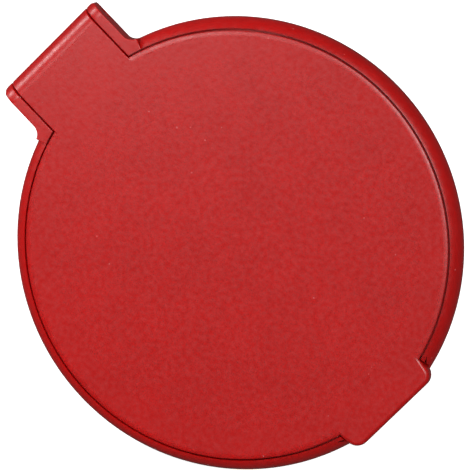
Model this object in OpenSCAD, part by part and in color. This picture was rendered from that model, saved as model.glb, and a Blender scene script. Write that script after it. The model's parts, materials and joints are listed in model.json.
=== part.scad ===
// Round pocket mirror that folds flat: a base and a lid, each holding a mirror.
// +Z is up, the hinge is towards +Y and the thumb tab towards -Y.
// The origin is the centre of the flat underside, and the case is drawn closed.

/* [Case] */
// Outer diameter of the round case
case_d = 62.5; // [58:0.5:72]
// Thickness of the closed case, which is also the height of its fully rounded edge
case_t = 5; // [4.8:0.1:6]
// Thickness of the base's floor and of the lid's skin
skin_t = 0.95; // [0.8:0.05:1.05]

/* [Lid] */
// Width of the base's rim, from the case's outer edge in to the lid's edge
rim_w = 1.75; // [1.6:0.05:2]
// Width of the visible groove between the lid and what surrounds it
groove_w = 0.22; // [0.2:0.01:0.3]
// Thickness of the lid at its edge
flange_t = 1.4; // [1.3:0.05:1.5]
// How much narrower the lid is at the foot of its edge, so that it swings clear of the rim
flange_draft = 0.4; // [0.35:0.05:0.5]

/* [Hinge] */
// How far the hinge reaches past the round case
hinge_reach = 6.45; // [5.8:0.05:7]
// Width of the lid's tongue between the base's ears
tongue_w = 14.64; // [13:0.02:16]
// Thickness of the tongue between the lid and its barrel
tongue_t = 1.9; // [1.8:0.05:2]
// Thickness of each ear of the base
ear_t = 1.41; // [1.3:0.01:1.8]
// Radius of each ear's outer corner, seen from above
ear_tip_r = 0.9; // [0.3:0.1:1.2]
// Radius of the inside corner between an ear and the rim
ear_fillet_r = 1.5; // [0.8:0.1:1.5]
// Height of the barrel's lowest line above the underside
barrel_lift = 0.1; // [0.05:0.05:0.2]
// Diameter of the two hinge pins
pin_d = 1.5; // [1.2:0.1:1.6]
// Radial clearance between a pin and the barrel that turns on it
pin_clear = 0.05; // [0.02:0.01:0.08]
// How deep a pin's outer end sits in its ear
pin_sunk = 0.3; // [0.1:0.1:0.4]
// How far a pin reaches into the barrel
pin_reach = 3.9; // [3:0.1:5]

/* [Thumb tab] */
// Width of the thumb tab
tab_w = 15.2; // [12:0.1:18]
// How far the tab's straight edge stands out past the round case
tab_proud = 0.4; // [0.3:0.1:1]
// Thickness of the tab
tab_t = 2; // [1.8:0.1:2.1]
// Radius of the tab's corners, seen from above
tab_corner_r = 1.8; // [1:0.1:2]
// Radius of the tab's upper edge
tab_edge_r = 0.6; // [0.3:0.1:0.8]

/* [Mirrors] */
// Diameter of each mirror
mirror_d = 51; // [46:0.5:52]
// Thickness of each mirror at its edge
mirror_t = 1; // [0.8:0.05:1]
// Depth of the hollow in the face of the base's magnifying mirror
mirror_sag = 0.35; // [0.2:0.05:0.5]
// Thickness of the double-sided tape behind each mirror
tape_t = 0.15; // [0.1:0.05:0.15]
// Diameter of each disc of tape
tape_d = 44; // [30:1:45]

/* [Hidden] */
$fn = 128;

// Space left between the base and the lid where they pass each other
clear = 0.3;
// How far a cutting shape runs past the surface that it cuts
past = 1;

// The round case
case_r = case_d / 2;
edge_r = case_t / 2;
flat_r = case_r - edge_r;
lid_r = case_r - rim_w;
rim_in_r = lid_r + groove_w;

// The lid's edge: its flange lies over a ledge of the base, and its lip drops inside the ledge
flange_z = case_t - flange_t;
ledge_z = flange_z - clear;
flange_foot_r = lid_r - flange_draft;
lid_edge_z = edge_r + sqrt(pow(edge_r, 2) - pow(lid_r - flat_r, 2));
ledge_in_r = flange_foot_r - clear;
lip_r = ledge_in_r - clear;

// The mirrors and their pockets, one stack in each half of the case
mirror_clear = 0.2;
border_proud = 0.1;
pocket_r = mirror_d / 2 + mirror_clear;
border_z = skin_t + tape_t + mirror_t + border_proud;
lip_z = case_t - border_z;
mirror_face_r = (pow(mirror_d / 2, 2) + pow(mirror_sag, 2)) / (2 * mirror_sag);
face_steps = 16;

// The hinge
barrel_r = (case_t - barrel_lift) / 2;
axis_z = case_t - barrel_r;
axis_y = case_r + hinge_reach - barrel_r;
ear_in_x = tongue_w / 2 + groove_w;
ear_out_x = ear_in_x + ear_t;
gap_floor_z = case_t - tongue_t - clear;
pin_r = pin_d / 2;
bore_r = pin_r + pin_clear;
bore_depth = pin_reach + clear;
// Centre of the inside corner's arc, which touches the ear's face and the rim's circle
fillet_x = ear_out_x + ear_fillet_r;
fillet_y = sqrt(pow(case_r + ear_fillet_r, 2) - pow(fillet_x, 2));
// Where that arc leaves the rim, and a point well inside the rim on the same radius
fillet_end = [fillet_x, fillet_y] * case_r / (case_r + ear_fillet_r);
fillet_root = fillet_end * (lid_r - past) / case_r;
// Where the tongue and the tab start, inside the lid's solid edge
root_y = pocket_r + 1;

// The thumb tab and its notch in the rim
tab_y = case_r + tab_proud;
notch_floor_z = case_t - tab_t - clear;
notch_x = tab_w / 2 + groove_w;

// Two nibs on the lid's lip hold the case shut
nib_r = 0.6;
nib_proud = 0.2;
nib_angle = 30;

case_colour = [0.72, 0.14, 0.13];
mirror_colour = [0.85, 0.87, 0.88];
tape_colour = [0.93, 0.92, 0.88];
steel_colour = [0.6, 0.6, 0.62];

// Half of the closed case's section: flat above and below, with a full round at the edge
module case_section() {
    square([flat_r, case_t]);
    translate([flat_r, edge_r]) intersection() {
        circle(r = edge_r);
        translate([0, -edge_r]) square([edge_r, case_t]);
    }
}

// Half-section of what the base leaves open: the mirror's pocket, then the steps for the lid
module base_hollow_section() {
    translate([0, skin_t]) square([pocket_r, case_t]);
    translate([0, border_z]) square([ledge_in_r, case_t]);
    translate([0, ledge_z]) square([rim_in_r, case_t]);
}

// Turns a shape drawn on Y and Z into a slab of the given width across X
module across_x(width) {
    rotate([90, 0, 90]) linear_extrude(height = width, center = true) children();
}

// The hinge seen from the side, back to the given height on its inner stretch
module hinge_side(from_y, from_z) {
    translate([axis_y, axis_z]) circle(r = barrel_r);
    translate([from_y, from_z]) square([axis_y - from_y, case_t - from_z]);
}

// Both ears seen from the front, with the case's round on their lower outer edges
module ears_front() {
    translate([-ear_out_x, edge_r]) square([2 * ear_out_x, edge_r]);
    translate([edge_r - ear_out_x, 0]) square([2 * (ear_out_x - edge_r), edge_r]);
    for (side = [-1, 1])
        translate([side * (ear_out_x - edge_r), edge_r]) circle(r = edge_r);
}

// Both ears seen from above, with their outer corners rounded
module ears_above() {
    start_y = fillet_y - past;
    tip_y = case_r + hinge_reach;
    corner_x = ear_out_x - ear_tip_r;
    translate([-ear_out_x, start_y]) square([2 * ear_out_x, tip_y - ear_tip_r - start_y]);
    translate([-corner_x, start_y]) square([2 * corner_x, tip_y - start_y]);
    for (side = [-1, 1])
        translate([side * corner_x, tip_y - ear_tip_r]) circle(r = ear_tip_r);
}

// The part of the ears that stands clear of the rim
module ear_ends() {
    difference() {
        intersection() {
            across_x(2 * ear_out_x) hinge_side(fillet_y, barrel_lift);
            translate([0, case_r + hinge_reach, 0]) rotate([90, 0, 0])
                linear_extrude(height = case_r) ears_front();
            linear_extrude(height = case_t) ears_above();
        }
        across_x(2 * ear_in_x) translate([0, -past])
            square([2 * case_r, case_t + 2 * past]);
    }
}

// What the inside corner leaves open, seen in section from the corner's centre
module fillet_hollow_section() {
    translate([0, -past]) square([ear_fillet_r, case_t + 2 * past]);
    difference() {
        translate([0, -past]) square([ear_fillet_r + edge_r, edge_r + past]);
        translate([ear_fillet_r + edge_r, edge_r]) circle(r = edge_r);
    }
}

// Flat-topped root of one ear, which ends on a radius of the case
module ear_root() {
    difference() {
        translate([0, 0, barrel_lift]) linear_extrude(height = case_t - barrel_lift)
            polygon([[ear_in_x, fillet_y], [fillet_x, fillet_y], fillet_end, fillet_root,
                     [ear_in_x, fillet_root[1]]]);
        translate([fillet_x, fillet_y, 0]) rotate_extrude() fillet_hollow_section();
    }
}

// A round bar along X on the hinge's axis, from the given X
module on_axis(from_x, length, radius) {
    translate([from_x, axis_y, axis_z]) rotate([0, 90, 0]) cylinder(h = length, r = radius);
}

module base_shell() {
    color(case_colour) difference() {
        union() {
            rotate_extrude() case_section();
            ear_ends();
            ear_root();
            mirror([1, 0, 0]) ear_root();
        }
        rotate_extrude() base_hollow_section();
        // Gap under the tongue
        translate([-ear_in_x, 0, gap_floor_z]) cube([2 * ear_in_x, 2 * case_r, case_t]);
        // Notch for the thumb tab
        translate([-notch_x, -2 * case_r, notch_floor_z]) cube([2 * notch_x, 2 * case_r, case_t]);
        on_axis(-2 * ear_out_x, 4 * ear_out_x, pin_r);
    }
}

// The lid's disc, with its flange, its lip and the mirror's pocket
module lid_section() {
    difference() {
        union() {
            intersection() {
                case_section();
                polygon([[0, flange_z], [flange_foot_r, flange_z], [lid_r, lid_edge_z],
                         [lid_r, case_t + past], [0, case_t + past]]);
            }
            translate([0, lip_z]) square([lip_r, flange_z - lip_z]);
        }
        square([pocket_r, case_t - skin_t]);
    }
}

module tongue() {
    difference() {
        across_x(tongue_w) hinge_side(root_y, case_t - tongue_t);
        for (side = [0, 1])
            mirror([side, 0, 0]) on_axis(tongue_w / 2 - bore_depth, bore_depth + past, bore_r);
    }
}

// The tab's outline seen from above
module tab_outline() {
    translate([-tab_w / 2, tab_corner_r - tab_y]) square([tab_w, tab_y - tab_corner_r - root_y]);
    translate([tab_corner_r - tab_w / 2, -tab_y]) square([tab_w - 2 * tab_corner_r, tab_corner_r]);
    for (side = [-1, 1])
        translate([side * (tab_w / 2 - tab_corner_r), tab_corner_r - tab_y]) circle(r = tab_corner_r);
}

// The tab seen from the side
module tab_side() {
    translate([-tab_y, 0]) square([tab_y, case_t - tab_edge_r]);
    translate([tab_edge_r - tab_y, 0]) square([tab_y - tab_edge_r, case_t]);
    translate([tab_edge_r - tab_y, case_t - tab_edge_r]) circle(r = tab_edge_r);
}

module thumb_tab() {
    intersection() {
        translate([0, 0, case_t - tab_t]) linear_extrude(height = tab_t) tab_outline();
        across_x(tab_w + past) tab_side();
    }
}

module catch_nibs() {
    for (side = [-1, 1]) {
        rotate([0, 0, side * nib_angle - 90])
            translate([lip_r + nib_proud - nib_r, 0, lip_z])
                cylinder(h = flange_z - lip_z, r = nib_r);
    }
}

module lid_shell() {
    color(case_colour) union() {
        rotate_extrude() lid_section();
        tongue();
        thumb_tab();
        catch_nibs();
    }
}

// Magnifying mirror, whose upper face is a shallow bowl
module base_mirror() {
    face_z = skin_t + tape_t + mirror_t;
    bowl = [for (i = [0 : face_steps])
        let (r = i / face_steps * mirror_d / 2)
        [r, face_z - mirror_sag + mirror_face_r - sqrt(pow(mirror_face_r, 2) - pow(r, 2))]];
    color(mirror_colour) rotate_extrude()
        polygon(concat([[mirror_d / 2, skin_t + tape_t], [0, skin_t + tape_t]], bowl));
}

module lid_mirror() {
    color(mirror_colour) translate([0, 0, case_t - skin_t - tape_t - mirror_t])
        cylinder(h = mirror_t, d = mirror_d);
}

module base_mirror_tape() {
    color(tape_colour) translate([0, 0, skin_t]) cylinder(h = tape_t, d = tape_d);
}

module lid_mirror_tape() {
    color(tape_colour) translate([0, 0, case_t - skin_t - tape_t]) cylinder(h = tape_t, d = tape_d);
}

module hinge_pin_right() {
    from_x = tongue_w / 2 - pin_reach;
    color(steel_colour) on_axis(from_x, ear_out_x - pin_sunk - from_x, pin_r);
}

module hinge_pin_left() {
    mirror([1, 0, 0]) hinge_pin_right();
}

base_shell();
base_mirror();
base_mirror_tape();
hinge_pin_left();
hinge_pin_right();
lid_shell();
lid_mirror();
lid_mirror_tape();
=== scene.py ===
"""Round pocket mirror in satin red plastic, shown closed, from above on a white table."""

import json
import math

import bpy
from mathutils import Matrix, Vector


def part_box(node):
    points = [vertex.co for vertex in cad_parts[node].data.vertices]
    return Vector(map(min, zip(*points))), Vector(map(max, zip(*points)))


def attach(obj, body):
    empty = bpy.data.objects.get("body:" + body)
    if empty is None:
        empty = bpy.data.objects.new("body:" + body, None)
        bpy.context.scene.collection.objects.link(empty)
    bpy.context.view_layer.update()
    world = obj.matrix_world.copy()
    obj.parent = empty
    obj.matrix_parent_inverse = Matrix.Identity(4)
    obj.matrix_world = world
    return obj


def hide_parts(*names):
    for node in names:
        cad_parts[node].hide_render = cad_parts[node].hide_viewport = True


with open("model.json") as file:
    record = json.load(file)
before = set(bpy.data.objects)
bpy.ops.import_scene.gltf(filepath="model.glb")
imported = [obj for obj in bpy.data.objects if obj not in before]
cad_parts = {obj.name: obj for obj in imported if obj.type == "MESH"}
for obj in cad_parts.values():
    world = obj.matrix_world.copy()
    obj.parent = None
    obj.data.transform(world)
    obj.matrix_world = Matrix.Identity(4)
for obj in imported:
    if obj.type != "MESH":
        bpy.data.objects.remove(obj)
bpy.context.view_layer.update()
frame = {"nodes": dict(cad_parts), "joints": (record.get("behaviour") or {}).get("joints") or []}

MM = 0.001  # the pieces are modelled in millimetres, then brought to metres

# ---------------------------------------------------------------- sizes, in millimetres

base_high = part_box("base_shell")[1] / MM
lid_low, lid_high = (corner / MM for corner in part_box("lid_shell"))
hinge = next(joint for joint in frame["joints"] if joint["name"] == "lid_hinge")

case_r = round(base_high.x, 2)
case_t = round(base_high.z, 2)
edge_r = case_t / 2
flat_r = case_r - edge_r
axis_y = hinge["pos_m"][1] / MM
axis_z = hinge["pos_m"][2] / MM
barrel_r = case_t - axis_z
hinge_end = axis_y + barrel_r
tab_y = -round(lid_low.y, 2)
lid_r = round(lid_high.x, 1)

GROOVE = 0.22       # width of the groove round the lid, the tongue and the tab
CLEAR = 0.3         # space between the halves where they pass each other
FLANGE_T = 1.4      # thickness of the lid at its edge
FLANGE_DRAFT = 0.4  # how much narrower the lid is at the foot of its edge
TONGUE_W = 14.64
TONGUE_T = 1.9
EAR_T = 1.41
EAR_FILLET = 1.5
EAR_TIP = 0.9       # radius of an ear's outer corner, seen from above
TAB_W = 15.2
TAB_T = 2.0
TAB_CORNER = 1.8
TAB_EDGE = 0.6
BORDER_PROUD = 0.1  # how far a border stands past its mirror's face
POCKET_GAP = 0.2    # gap round a mirror in its pocket
BORE_GAP = 0.05
BORE_DEPTH = 4.2
NIB_R = 0.6
NIB_PROUD = 0.2
NIB_ANGLE = math.radians(30)
SOFT_EDGE = 0.1     # radius of the moulded edges
PAST = 1.0          # how far a cutting shape runs past what it cuts
ROUND = 192         # sides of the large circles
BARREL_SIDES = 96
PIN_SIDES = 48      # also the sides of the bores and of the ears' outer corners
NIB_SIDES = 32
EDGE_ROWS = 18      # rows of faces in the case's full round
CORNER_ROWS = 12    # rows of faces in the other large rounds
TAB_ROWS = 8        # rows of faces in the tab's upper edge
SMALL_ROWS = 3      # rows of faces in the small rounds
GRID = 1 / 1024     # spacing of the grid that corners are put on
MERGE = 1e-3        # points closer than this are one
CLEAN = 0.02        # shorter edges than this are left over from a cut
FLAT_ANGLE = math.radians(0.05)
SORT_FROM = (101.3, 57.1, 23.7)  # a point at a different distance from each corner of the case
SMOOTH_ANGLE = math.radians(35)
SHARP_ANGLE = math.radians(50)
GROUND_EDGE = 0.12    # radius of the mirrors' ground edges
FACE_RINGS = 16
GLASS_UP = 0.99       # how nearly upright a face of the glass is to count as front or back
MIRROR_HOLLOW = 0.35  # how far the magnifying mirror's face sinks at its middle
PIN_ROUND = 0.15

mirror_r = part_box("lid_mirror")[1].x / MM
pin_low, pin_high = (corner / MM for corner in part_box("hinge_pin_right"))
pin_r = (pin_high.z - pin_low.z) / 2
skin_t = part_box("base_mirror_tape")[0].z / MM
border_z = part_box("base_mirror")[1].z / MM + BORDER_PROUD
pocket_r = mirror_r + POCKET_GAP
lip_z = case_t - border_z
flange_z = case_t - FLANGE_T
ledge_z = flange_z - CLEAR
ledge_r = lid_r - FLANGE_DRAFT - CLEAR
lip_r = ledge_r - CLEAR
ear_in = TONGUE_W / 2 + GROOVE
ear_out = ear_in + EAR_T
fillet_x = ear_out + EAR_FILLET
fillet_y = math.sqrt((case_r + EAR_FILLET) ** 2 - fillet_x**2)

# ---------------------------------------------------------------- colours, light and camera

RED = (0.46, 0.0015, 0.001)
PALE_RED = (0.56, 0.09, 0.09)
FACE_GLOSS = 0.37              # roughness of the plastic's faces
EDGE_GLOSS = 0.33              # and of its rubbed edges
DEEP_COLOUR = 0.8              # how much of the red comes from within the plastic
DEEP_REACH = (1.0, 0.15, 0.1)  # how far red, green and blue travel in it, against each other
DEEP_SCALE = 1.8               # the furthest of them, in millimetres
FLOOR_COLOUR = (0.9, 0.9, 0.9)
FLOOR_SIZE = 4.0
# Each light: its azimuth from +X towards +Y and its elevation, then its distance, width and power
LIGHTS = {
    "key": (math.radians(-10), math.radians(68), 1.5, 0.5, 15.2),
    "sheen": (math.radians(95), math.radians(62), 0.2, 0.03, 0.1),
    "rim": (math.radians(103), math.radians(22), 0.4, 0.05, 0.55),
}
SKY = 0.12
FLOOR_GLOW = 0.8

LEAN = math.radians(14.5)          # how far the camera is from straight above
LEAN_TOWARDS = math.radians(-14)   # which way it leans, from +X
ROLL = math.radians(30)
LENS = 400.0
SENSOR = 36.0
VIEW_WIDTH = 64.28                 # millimetres across the view, at the case
AIM_RIGHT = -0.53                 # where the middle of the view is from the middle of the case
AIM_UP = 1.19


# ---------------------------------------------------------------- modelling helpers

def only(piece):
    """Select one object alone and make it active."""
    if bpy.context.object and bpy.context.object.mode != "OBJECT":
        bpy.ops.object.mode_set(mode="OBJECT")
    bpy.ops.object.select_all(action="DESELECT")
    piece.select_set(True)
    bpy.context.view_layer.objects.active = piece
    return piece


def settle(piece):
    """Put an object's place and turn into its mesh, on a fine grid so that faces meant to meet do."""
    only(piece)
    bpy.ops.object.transform_apply(location=True, rotation=True, scale=True)
    for vertex in piece.data.vertices:
        vertex.co = [round(value / GRID) * GRID for value in vertex.co]
    return piece


def block(low, high):
    """A box between two corners."""
    low, high = Vector(low), Vector(high)
    bpy.ops.object.select_all(action="DESELECT")
    bpy.ops.mesh.primitive_cube_add(size=1, location=(low + high) / 2)
    piece = bpy.context.object
    piece.scale = high - low
    return settle(piece)


def rod(start, end, radius, sides=ROUND):
    """A cylinder between two points on one line along X, Y or Z."""
    start, end = Vector(start), Vector(end)
    bpy.ops.object.select_all(action="DESELECT")
    bpy.ops.mesh.primitive_cylinder_add(
        vertices=sides, radius=radius, depth=(end - start).length, location=(start + end) / 2,
        rotation=(end - start).to_track_quat("Z", "Y").to_euler())
    return settle(bpy.context.object)


def pick_edges(piece, wanted):
    """Enter edit mode with the edges selected whose two ends satisfy wanted(a, b)."""
    only(piece)
    bpy.ops.object.mode_set(mode="EDIT")
    bpy.ops.mesh.select_mode(type="EDGE")
    bpy.ops.mesh.select_all(action="DESELECT")
    bpy.ops.object.mode_set(mode="OBJECT")
    mesh = piece.data
    for edge in mesh.edges:
        a, b = (mesh.vertices[i].co for i in edge.vertices)
        edge.select = wanted(a, b)
    bpy.ops.object.mode_set(mode="EDIT")


def pick_faces(piece, wanted):
    """Enter edit mode with the faces selected that satisfy wanted(face)."""
    only(piece)
    bpy.ops.object.mode_set(mode="EDIT")
    bpy.ops.mesh.select_mode(type="FACE")
    bpy.ops.mesh.select_all(action="DESELECT")
    bpy.ops.object.mode_set(mode="OBJECT")
    for face in piece.data.polygons:
        face.select = wanted(face)
    bpy.ops.object.mode_set(mode="EDIT")


def round_edges(piece, wanted, radius, segments):
    """Round the chosen edges."""
    pick_edges(piece, wanted)
    bpy.ops.mesh.bevel(offset=radius, offset_type="OFFSET", segments=segments, affect="EDGES")
    bpy.ops.object.mode_set(mode="OBJECT")
    return piece


def combine(piece, tool, operation):
    """Join, cut or intersect a piece with a tool, which is then gone."""
    only(piece)
    change = piece.modifiers.new(operation.title(), "BOOLEAN")
    change.operation = operation
    change.solver = "EXACT"
    change.object = tool
    bpy.ops.object.modifier_apply(modifier=change.name)
    bpy.data.objects.remove(tool)
    return piece


def cut(piece, tool):
    return combine(piece, tool, "DIFFERENCE")


def join(piece, tool):
    return combine(piece, tool, "UNION")


def common(piece, tool):
    return combine(piece, tool, "INTERSECT")


def flat_section(low, high):
    """An upright rectangle on X and Z, left in edit mode as four bare edges with nothing selected."""
    bpy.ops.object.select_all(action="DESELECT")
    bpy.ops.mesh.primitive_plane_add(size=1, rotation=(math.pi / 2, 0, 0),
                                     location=((low[0] + high[0]) / 2, 0, (low[1] + high[1]) / 2))
    piece = bpy.context.object
    piece.scale = (high[0] - low[0], high[1] - low[1], 1)
    settle(piece)
    bpy.ops.object.mode_set(mode="EDIT")
    bpy.ops.mesh.select_mode(type="VERT")
    bpy.ops.mesh.select_all(action="SELECT")
    bpy.ops.mesh.delete(type="ONLY_FACE")
    return piece


def round_case(bottom):
    """The round case from the given height up, with its full round edge, spun from its half-section."""
    piece = flat_section((0, bottom), (case_r, case_t))
    bpy.ops.object.mode_set(mode="OBJECT")
    for vertex in piece.data.vertices:
        vertex.select = vertex.co.x > flat_r and (bottom < MERGE or vertex.co.z > edge_r + MERGE)
    bpy.ops.object.mode_set(mode="EDIT")
    # A hair under the full radius keeps two rounds from meeting in one point
    bpy.ops.mesh.bevel(offset=edge_r * 0.9999, segments=EDGE_ROWS, affect="VERTICES")
    bpy.ops.mesh.select_all(action="SELECT")
    bpy.ops.mesh.spin(steps=ROUND, angle=2 * math.pi, center=(0, 0, 0), axis=(0, 0, 1))
    close_mesh(piece)
    return settle(piece)


def close_mesh(piece):
    """Merge the seam and the poles, drop what is left over inside, and point the faces outwards."""
    only(piece)
    bpy.ops.object.mode_set(mode="EDIT")
    bpy.ops.mesh.select_all(action="SELECT")
    bpy.ops.mesh.remove_doubles(threshold=MERGE)
    bpy.ops.mesh.select_all(action="DESELECT")
    bpy.ops.mesh.select_mode(type="EDGE")
    bpy.ops.mesh.select_loose()
    bpy.ops.mesh.delete(type="EDGE")
    bpy.ops.mesh.select_all(action="SELECT")
    bpy.ops.mesh.normals_make_consistent(inside=False)
    bpy.ops.object.mode_set(mode="OBJECT")


def outer_edges(piece):
    """The edges where two faces meet in a sharp corner that stands out, by their number."""
    mesh = piece.data
    sides = {}
    for face in mesh.polygons:
        corners = list(face.vertices)
        for start, end in zip(corners, corners[1:] + corners[:1]):
            sides.setdefault((min(start, end), max(start, end)), []).append((face, start, end))
    found = set()
    for edge in mesh.edges:
        meeting = sides.get((min(edge.vertices), max(edge.vertices)), ())
        if len(meeting) != 2:
            continue
        (one, start, end), (other, _, _) = meeting
        along = mesh.vertices[end].co - mesh.vertices[start].co
        stands_out = one.normal.cross(other.normal).dot(along) > 0
        if stands_out and one.normal.angle(other.normal) > SHARP_ANGLE:
            found.add(edge.index)
    return found


def tidy(piece, shortest=MERGE):
    """Clear away what joins and cuts leave: edges of no length, and lines across flat faces."""
    only(piece)
    # A boolean numbers its points differently on each run, so they are put in order first
    bpy.context.scene.cursor.location = SORT_FROM
    bpy.ops.object.mode_set(mode="EDIT")
    bpy.ops.mesh.select_all(action="SELECT")
    bpy.ops.mesh.sort_elements(type="CURSOR_DISTANCE", elements={"VERT", "EDGE", "FACE"})
    bpy.ops.mesh.remove_doubles(threshold=shortest)
    bpy.ops.mesh.dissolve_degenerate(threshold=shortest)
    bpy.ops.mesh.select_all(action="SELECT")
    bpy.ops.mesh.delete_loose(use_faces=True)
    bpy.ops.mesh.select_all(action="SELECT")
    bpy.ops.mesh.dissolve_limited(angle_limit=FLAT_ANGLE)
    bpy.ops.object.mode_set(mode="OBJECT")
    return piece


def soften(piece, keep_sharp):
    """Round the edges of a finished piece that stand out."""
    sharp = outer_edges(piece)
    corners = piece.data.vertices
    chosen = [edge.index in sharp and not keep_sharp(*(corners[i].co for i in edge.vertices))
              for edge in piece.data.edges]
    pick_edges(piece, lambda a, b: False)
    bpy.ops.object.mode_set(mode="OBJECT")
    for edge, wanted in zip(piece.data.edges, chosen):
        edge.select = wanted
    bpy.ops.object.mode_set(mode="EDIT")
    bpy.ops.mesh.bevel(offset=SOFT_EDGE, segments=SMALL_ROWS, affect="EDGES", material=1)
    bpy.ops.object.mode_set(mode="OBJECT")
    return piece


def finish_piece(piece, name, body, nodes, materials):
    """Bring a piece to metres, name it, dress it, and set it riding in place of its CAD nodes."""
    only(piece)
    piece.name = piece.data.name = name
    bpy.ops.object.mode_set(mode="EDIT")
    bpy.ops.mesh.select_all(action="SELECT")
    bpy.ops.mesh.normals_make_consistent(inside=False)
    bpy.ops.object.mode_set(mode="OBJECT")
    piece.scale = (MM, MM, MM)
    bpy.ops.object.transform_apply(location=False, rotation=False, scale=True)
    bpy.ops.object.shade_smooth_by_angle(angle=SMOOTH_ANGLE)
    shading = piece.modifiers.new("Even shading", "WEIGHTED_NORMAL")
    shading.keep_sharp = True
    bpy.ops.object.modifier_apply(modifier=shading.name)
    for material in materials:
        piece.data.materials.append(material)
    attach(piece, body)
    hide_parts(*nodes)
    return piece


# ---------------------------------------------------------------- base

def stepped_hollow():
    """What the base leaves open: the mirror's pocket, then the steps that the lid drops into."""
    top = case_t + PAST
    hollow = rod((0, 0, skin_t), (0, 0, top), pocket_r)
    join(hollow, rod((0, 0, border_z), (0, 0, top), ledge_r))
    return join(hollow, rod((0, 0, ledge_z), (0, 0, top), lid_r + GROOVE))


def hinge_side_block(half_width, start_y, under):
    """A bar with the barrel's round on its far end, back to start_y, with the given underside."""
    bar = block((-half_width, start_y, under), (half_width, axis_y, case_t))
    return join(bar, rod((-half_width, axis_y, axis_z), (half_width, axis_y, axis_z), barrel_r,
                         BARREL_SIDES))


def outline_plate():
    """The base's outline drawn up past the top, with its inside corners, and its lower edge rounded."""
    top = case_t + PAST
    plate = rod((0, 0, 0), (0, 0, top), case_r)
    tidy(join(plate, block((-ear_out, lid_r - PAST, 0), (ear_out, hinge_end, top))))
    corner = Vector((ear_out, math.sqrt(case_r**2 - ear_out**2)))

    def upright_near_corner(a, b, near, far):
        off = (Vector((abs(a.x), a.y)) - corner).length
        return abs(a.z - b.z) > MERGE and near <= off < far

    pick_edges(plate, lambda a, b: upright_near_corner(a, b, 0.05, EAR_FILLET / 2))
    bpy.ops.mesh.dissolve_edges()
    turn = math.pi / 2 - math.asin(ear_out / case_r)
    round_edges(plate, lambda a, b: upright_near_corner(a, b, 0, 0.05), EAR_FILLET * math.tan(turn / 2),
                CORNER_ROWS)
    return round_edges(plate, lambda a, b: max(a.z, b.z) < MERGE, edge_r, CORNER_ROWS)


def upper_limit():
    """How far the base may reach above its widest line: the case's round, and the hinge's side view."""
    limit = round_case(edge_r)
    join(limit, rod((0, 0, -PAST), (0, 0, edge_r), hinge_end + PAST))
    slope = fillet_x / fillet_y
    start_y = lid_r - 2 * PAST
    roots = block((-axis_y * slope, start_y, PAST), (axis_y * slope, axis_y, case_t))
    for vertex in roots.data.vertices:
        if vertex.co.y < start_y + MERGE:
            vertex.co.x = math.copysign(start_y * slope, vertex.co.x)
    join(limit, roots)
    reach = ear_out + PAST
    return join(limit, rod((-reach, axis_y, axis_z), (reach, axis_y, axis_z), barrel_r, BARREL_SIDES))


def at_root_end(a, b):
    """Whether an edge is the upright end of an ear's root, which runs out in the case's round."""
    end = Vector((fillet_x, fillet_y)) * case_r / (case_r + EAR_FILLET)
    return abs(a.z - b.z) > EAR_FILLET and (Vector((abs(a.x), a.y)) - end).length < 2 * SOFT_EDGE


def at_ear_corner(a, b):
    """Whether an edge is on the lower outer corner of an ear, where two rounds meet."""
    return min(a.y, b.y) > axis_y and max(a.z, b.z) < edge_r and min(abs(a.x), abs(b.x)) > ear_in + MERGE


def at_rim_edge(a, b):
    """Whether an edge is where the case's round meets the groove, by faces too narrow to round."""
    return all(abs(Vector(end.xy).length - lid_r - GROOVE) < 2 * CLEAN and end.z > ledge_z + PAST
               for end in (a, b))


def ear_corner(side):
    """What rounding an ear's outer corner takes away."""
    inner, outer = side * (ear_out - EAR_TIP), side * (ear_out + PAST)
    y = hinge_end - EAR_TIP
    corner = block((min(inner, outer), y, -PAST), (max(inner, outer), hinge_end + PAST, case_t + PAST))
    return cut(corner, rod((inner, y, -2 * PAST), (inner, y, case_t + 2 * PAST), EAR_TIP, PIN_SIDES))


def case_base():
    base = common(outline_plate(), upper_limit())
    between_ears = block((-ear_in, flat_r - 2 * PAST, -PAST), (ear_in, hinge_end + PAST, case_t + PAST))
    cut(base, cut(between_ears, round_case(0)))
    cut(base, stepped_hollow())
    gap_floor = case_t - TONGUE_T - CLEAR
    notch_floor = case_t - TAB_T - CLEAR
    notch_x = TAB_W / 2 + GROOVE
    cut(base, block((-ear_in, 0, gap_floor), (ear_in, hinge_end + PAST, case_t + PAST)))
    cut(base, block((-notch_x, -2 * case_r, notch_floor), (notch_x, 0, case_t + PAST)))
    cut(base, rod((-2 * ear_out, axis_y, axis_z), (2 * ear_out, axis_y, axis_z), pin_r, PIN_SIDES))
    for side in (-1, 1):
        cut(base, ear_corner(side))

    tidy(base, CLEAN)
    return soften(base, lambda a, b: at_root_end(a, b) or at_ear_corner(a, b) or at_rim_edge(a, b)
                  or max(a.z, b.z) < skin_t)


# ---------------------------------------------------------------- lid

def lid_disc():
    """The lid's round plate, with its drafted edge, its lip and the mirror's pocket."""
    plate = round_case(0)
    edge_z = edge_r + math.sqrt(edge_r**2 - (lid_r - flat_r) ** 2)
    bpy.ops.object.select_all(action="DESELECT")
    bpy.ops.mesh.primitive_cone_add(
        vertices=ROUND, radius1=lid_r - FLANGE_DRAFT, radius2=lid_r, depth=edge_z - flange_z,
        location=(0, 0, (edge_z + flange_z) / 2))
    side = settle(bpy.context.object)
    pick_faces(side, lambda face: face.normal.z > 0.9)
    bpy.ops.mesh.extrude_region_move(TRANSFORM_OT_translate={"value": (0, 0, case_t + PAST - edge_z)})
    bpy.ops.object.mode_set(mode="OBJECT")
    common(plate, side)
    join(plate, rod((0, 0, lip_z), (0, 0, flange_z + PAST / 2), lip_r))
    return cut(plate, rod((0, 0, 0), (0, 0, case_t - skin_t), pocket_r))


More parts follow.
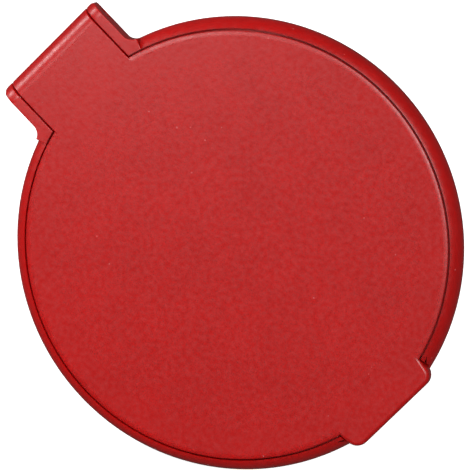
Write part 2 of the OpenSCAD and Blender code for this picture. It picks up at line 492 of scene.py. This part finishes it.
def tongue():
    """The tongue and its barrel, bored from both ends for the pins."""
    half = TONGUE_W / 2
    bar = hinge_side_block(half, pocket_r + 1, case_t - TONGUE_T)
    for side in (-1, 1):
        cut(bar, rod((side * (half - BORE_DEPTH), axis_y, axis_z), (side * (half + PAST), axis_y, axis_z),
                     pin_r + BORE_GAP, PIN_SIDES))
    return bar


def thumb_tab():
    """The tab, with its corners rounded in plan and then its upper edge."""
    tab = block((-TAB_W / 2, -tab_y, case_t - TAB_T), (TAB_W / 2, -(pocket_r + 1), case_t))
    round_edges(tab, lambda a, b: abs(a.z - b.z) > MERGE and a.y < MERGE - tab_y, TAB_CORNER, CORNER_ROWS)
    round_edges(tab, lambda a, b: min(a.z, b.z) > case_t - MERGE
                and min(a.y, b.y) < TAB_CORNER - tab_y - MERGE, TAB_EDGE, TAB_ROWS)
    return tab


def divide(piece, y):
    """Draw a line all round a piece, square to Y."""
    only(piece)
    bpy.ops.object.mode_set(mode="EDIT")
    bpy.ops.mesh.select_all(action="SELECT")
    bpy.ops.mesh.bisect(plane_co=(0, y, 0), plane_no=(0, 1, 0))
    bpy.ops.object.mode_set(mode="OBJECT")


def case_lid():
    lid = join(lid_disc(), tongue())
    join(lid, thumb_tab())
    for side in (-1, 1):
        angle = side * NIB_ANGLE - math.pi / 2
        place = Vector((math.cos(angle), math.sin(angle), 0)) * (lip_r + NIB_PROUD - NIB_R)
        foot, head = Vector((0, 0, lip_z)), Vector((0, 0, flange_z + GROOVE))
        join(lid, rod(place + foot, place + head, NIB_R, NIB_SIDES))
    tidy(lid, CLEAN)
    # The upper side edges of the tongue and the tab run out in the lid's round, so they stay sharp there
    root_y = lid_r - PAST
    divide(lid, root_y)
    divide(lid, -root_y)
    return soften(lid, lambda a, b: min(a.z, b.z) > case_t - MERGE
                  and max(abs(a.y), abs(b.y)) < root_y + MERGE)


# ---------------------------------------------------------------- mirrors and pins

def glass_disc(node, face, hollow):
    """A round mirror with ground edges. Its face points up (1) or down (-1) and sinks by hollow."""
    low, high = (corner.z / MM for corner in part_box(node))
    disc = rod((0, 0, low), (0, 0, high), mirror_r)
    round_edges(disc, lambda a, b: abs(a.z - b.z) < MERGE, GROUND_EDGE, SMALL_ROWS)
    pick_faces(disc, lambda side: side.normal.z * face > GLASS_UP)
    ring = (mirror_r - GROUND_EDGE) / (FACE_RINGS + 0.5)
    for _ in range(FACE_RINGS):
        bpy.ops.mesh.inset(thickness=ring, use_boundary=True)
    bpy.ops.object.mode_set(mode="OBJECT")
    face_z = high if face > 0 else low
    for vertex in disc.data.vertices:
        if abs(vertex.co.z - face_z) < MERGE:
            out = Vector(vertex.co.xy).length / (mirror_r - GROUND_EDGE)
            vertex.co.z -= face * hollow * (1 - out**2)
    return disc


def paint_glass(disc, face):
    """Give the ground edge and the painted back of a mirror their own materials."""
    for side in disc.data.polygons:
        up = side.normal.z * face
        side.material_index = 0 if up > GLASS_UP else 2 if up < -GLASS_UP else 1


def hinge_pin(side):
    """A steel pin with rounded ends, from inside the barrel out into an ear."""
    start = Vector((side * pin_low.x, axis_y, axis_z))
    pin = rod(start, Vector((side * pin_high.x, axis_y, axis_z)), pin_r, PIN_SIDES)
    return round_edges(pin, lambda a, b: abs(a.x - b.x) < MERGE, PIN_ROUND, SMALL_ROWS)


# ---------------------------------------------------------------- materials

def new_material(name):
    """A new material, with its node tree and its shader."""
    material = bpy.data.materials.new(name)
    material.use_nodes = True
    tree = material.node_tree
    return material, tree, tree.nodes["Principled BSDF"]


def place(tree, stretch=(1, 1, 1)):
    """Where a point is on the object, in millimetres, stretched if need be."""
    where = tree.nodes.new("ShaderNodeTexCoord")
    mapping = tree.nodes.new("ShaderNodeMapping")
    mapping.inputs["Scale"].default_value = [value / MM for value in stretch]
    tree.links.new(where.outputs["Object"], mapping.inputs["Vector"])
    return mapping.outputs["Vector"]


def grain(tree, where, size, detail=2.0, roughness=0.5):
    """Soft random spots of about the given size in millimetres."""
    noise = tree.nodes.new("ShaderNodeTexNoise")
    noise.inputs["Scale"].default_value = 1 / size
    noise.inputs["Detail"].default_value = detail
    noise.inputs["Roughness"].default_value = roughness
    tree.links.new(where, noise.inputs["Vector"])
    return noise.outputs["Fac"]


def between(tree, factor, start, low, end, high):
    """Turn a factor into values: low up to start, high from end on, even steps between."""
    span = tree.nodes.new("ShaderNodeMapRange")
    for socket, value in zip(("From Min", "From Max", "To Min", "To Max"), (start, end, low, high)):
        span.inputs[socket].default_value = value
    tree.links.new(factor, span.inputs["Value"])
    return span.outputs["Result"]


def blend_colour(tree, factor, first, second):
    """Mix two colours, either of which may be a socket."""
    mix = tree.nodes.new("ShaderNodeMix")
    mix.data_type = "RGBA"
    for socket, colour in ((mix.inputs[6], first), (mix.inputs[7], second)):
        if isinstance(colour, bpy.types.NodeSocket):
            tree.links.new(colour, socket)
        else:
            socket.default_value = (*colour, 1)
    tree.links.new(factor, mix.inputs["Factor"])
    return mix.outputs[2]


def relief(tree, height, depth, strength=1.0, under=None):
    """A bump of the given depth in millimetres, on top of another one if there is one."""
    bump = tree.nodes.new("ShaderNodeBump")
    bump.inputs["Strength"].default_value = strength
    bump.inputs["Distance"].default_value = depth * MM
    tree.links.new(height, bump.inputs["Height"])
    if under is not None:
        tree.links.new(under, bump.inputs["Normal"])
    return bump.outputs["Normal"]


def dust(tree, where, spacing, size):
    """Sparse small specks: 1 on a speck and 0 elsewhere."""
    cells = tree.nodes.new("ShaderNodeTexVoronoi")
    cells.inputs["Scale"].default_value = 1 / spacing
    tree.links.new(where, cells.inputs["Vector"])
    return between(tree, cells.outputs["Distance"], size / spacing, 1, 1.6 * size / spacing, 0)


def moulded_plastic(name, colour, pale, gloss):
    """Satin moulded plastic with a fine grain, a slow mottle and a few specks; gloss is its roughness."""
    material, tree, shader = new_material(name)
    where = place(tree)
    mottle = grain(tree, where, 6.0, detail=3.0)
    fine = grain(tree, where, 0.7, detail=3.0)
    tint = blend_colour(tree, between(tree, mottle, 0.35, 0, 0.65, 1), colour, [c * 1.07 for c in colour])
    tint = blend_colour(tree, between(tree, fine, 0.4, 0, 0.75, 0.04), tint, pale)
    tint = blend_colour(tree, dust(tree, where, 3.1, 0.09), tint, pale)
    tree.links.new(tint, shader.inputs["Base Color"])
    tree.links.new(between(tree, fine, 0.3, gloss - 0.05, 0.7, gloss + 0.06), shader.inputs["Roughness"])
    texture = relief(tree, grain(tree, where, 0.13), 0.012, 0.5)
    texture = relief(tree, fine, 0.03, 0.6, texture)
    tree.links.new(texture, shader.inputs["Normal"])
    shader.inputs["Subsurface Weight"].default_value = DEEP_COLOUR
    shader.inputs["Subsurface Radius"].default_value = DEEP_REACH
    shader.inputs["Subsurface Scale"].default_value = DEEP_SCALE * MM
    return material


def silvered_glass():
    """The face of a mirror, with the faintest waviness and film of dust."""
    material, tree, shader = new_material("mirror_face")
    where = place(tree)
    film = grain(tree, where, 9.0, detail=4.0)
    shader.inputs["Metallic"].default_value = 1.0
    tree.links.new(blend_colour(tree, film, (0.86, 0.88, 0.88), (0.8, 0.83, 0.83)),
                   shader.inputs["Base Color"])
    tree.links.new(between(tree, film, 0.4, 0.015, 0.8, 0.06), shader.inputs["Roughness"])
    tree.links.new(relief(tree, grain(tree, where, 14.0), 0.004, 0.3), shader.inputs["Normal"])
    return material


def ground_glass():
    """The edge of a mirror: greenish glass, ground dull."""
    material, tree, shader = new_material("mirror_edge")
    where = place(tree)
    marks = grain(tree, where, 0.2)
    tree.links.new(blend_colour(tree, marks, (0.30, 0.42, 0.38), (0.46, 0.58, 0.53)),
                   shader.inputs["Base Color"])
    tree.links.new(between(tree, marks, 0.3, 0.3, 0.7, 0.5), shader.inputs["Roughness"])
    tree.links.new(relief(tree, marks, 0.01, 0.5), shader.inputs["Normal"])
    return material


def backing_paint():
    """The grey paint that protects a mirror's silver."""
    material, tree, shader = new_material("mirror_back")
    where = place(tree)
    spray = grain(tree, where, 0.3, detail=4.0)
    tree.links.new(blend_colour(tree, spray, (0.12, 0.125, 0.13), (0.19, 0.195, 0.2)),
                   shader.inputs["Base Color"])
    tree.links.new(between(tree, spray, 0.3, 0.45, 0.7, 0.65), shader.inputs["Roughness"])
    tree.links.new(relief(tree, spray, 0.01, 0.6), shader.inputs["Normal"])
    return material


def foam_tape():
    """Off-white double-sided foam tape."""
    material, tree, shader = new_material("foam_tape")
    where = place(tree)
    pores = grain(tree, where, 0.35, detail=3.0)
    tree.links.new(blend_colour(tree, pores, (0.66, 0.64, 0.57), (0.82, 0.8, 0.74)),
                   shader.inputs["Base Color"])
    tree.links.new(between(tree, pores, 0.3, 0.7, 0.7, 0.9), shader.inputs["Roughness"])
    tree.links.new(relief(tree, pores, 0.05, 0.8), shader.inputs["Normal"])
    return material


def drawn_steel():
    """Plain steel wire, with fine marks of drawing along its length."""
    material, tree, shader = new_material("drawn_steel")
    marks = grain(tree, place(tree, (0.15, 1, 1)), 0.08, detail=3.0)
    shader.inputs["Metallic"].default_value = 1.0
    tree.links.new(blend_colour(tree, marks, (0.42, 0.42, 0.43), (0.56, 0.56, 0.57)),
                   shader.inputs["Base Color"])
    tree.links.new(between(tree, marks, 0.3, 0.25, 0.7, 0.42), shader.inputs["Roughness"])
    tree.links.new(relief(tree, marks, 0.005, 0.5), shader.inputs["Normal"])
    return material


def table_top():
    """A plain white table."""
    material, tree, shader = new_material("table_top")
    shade = grain(tree, place(tree), 40.0)
    tree.links.new(blend_colour(tree, shade, FLOOR_COLOUR, [c * 0.99 for c in FLOOR_COLOUR]),
                   shader.inputs["Base Color"])
    shader.inputs["Roughness"].default_value = 0.9
    shader.inputs["Emission Color"].default_value = (1, 1, 1, 1)
    shader.inputs["Emission Strength"].default_value = FLOOR_GLOW
    return material


# ---------------------------------------------------------------- the mirror, piece by piece

def make_object():
    red = moulded_plastic("case_plastic", RED, PALE_RED, FACE_GLOSS)
    worn_red = moulded_plastic("case_plastic_edge", [c * 1.15 for c in RED], PALE_RED, EDGE_GLOSS)
    glass = [silvered_glass(), ground_glass(), backing_paint()]
    steel = [drawn_steel()]
    finish_piece(case_base(), "case_base", "base", ["base_shell"], [red, worn_red])
    finish_piece(case_lid(), "case_lid", "lid", ["lid_shell"], [red, worn_red])
    plain = glass_disc("lid_mirror", -1, 0)
    paint_glass(plain, -1)
    finish_piece(plain, "plain_mirror", "lid", ["lid_mirror"], glass)
    magnifying = glass_disc("base_mirror", 1, MIRROR_HOLLOW)
    paint_glass(magnifying, 1)
    finish_piece(magnifying, "magnifying_mirror", "base", ["base_mirror"], glass)
    for side, hand in ((-1, "left"), (1, "right")):
        finish_piece(hinge_pin(side), f"steel_pin_{hand}", "base", [f"hinge_pin_{hand}"], steel)
    tape = foam_tape()
    for node in ("base_mirror_tape", "lid_mirror_tape"):
        frame["nodes"][node].data.materials.clear()
        frame["nodes"][node].data.materials.append(tape)


# ---------------------------------------------------------------- table, light and camera

def make_table():
    bpy.ops.object.select_all(action="DESELECT")
    bpy.ops.mesh.primitive_plane_add(size=FLOOR_SIZE, location=(0, 0, 0))
    floor = bpy.context.object
    floor.name = "table_top"
    floor.data.materials.append(table_top())
    # The table's own glow stays off the case
    floor.visible_glossy = False
    floor.visible_diffuse = False


def soft_box(name, azimuth, elevation, distance, size, power):
    """A square light aimed at the middle of the case; azimuth is measured from +X towards +Y."""
    bpy.ops.object.select_all(action="DESELECT")
    away = Vector((math.cos(elevation) * math.cos(azimuth), math.cos(elevation) * math.sin(azimuth),
                   math.sin(elevation)))
    bpy.ops.object.light_add(type="AREA", location=away * distance,
                             rotation=away.to_track_quat("Z", "Y").to_euler())
    lamp = bpy.context.object
    lamp.name = name
    lamp.data.size = size
    lamp.data.energy = power


def make_lights():
    for name, setting in LIGHTS.items():
        soft_box(name, *setting)
    world = bpy.data.worlds.new("studio")
    bpy.context.scene.world = world
    world.use_nodes = True
    background = world.node_tree.nodes["Background"]
    background.inputs["Color"].default_value = (1, 1, 1, 1)
    background.inputs["Strength"].default_value = SKY


def make_camera():
    """A long lens, nearly overhead, turned so that the hinge is at the upper left."""
    turn = (Matrix.Rotation(LEAN_TOWARDS, 4, "Z") @ Matrix.Rotation(LEAN, 4, "Y")
            @ Matrix.Rotation(-ROLL, 4, "Z"))
    right, up, back = (turn.to_3x3().col[i] for i in range(3))
    distance = LENS / SENSOR * VIEW_WIDTH
    aim = Vector((0, 0, edge_r)) + right * AIM_RIGHT + up * AIM_UP
    bpy.ops.object.select_all(action="DESELECT")
    bpy.ops.object.camera_add()
    camera = bpy.context.object
    camera.matrix_world = Matrix.Translation(MM * (aim + back * distance)) @ turn
    camera.data.lens = LENS
    camera.data.sensor_width = SENSOR
    camera.data.clip_end = 10
    bpy.context.scene.camera = camera


make_object()
make_table()
make_lights()
make_camera()
bpy.context.scene.view_settings.view_transform = "Standard"
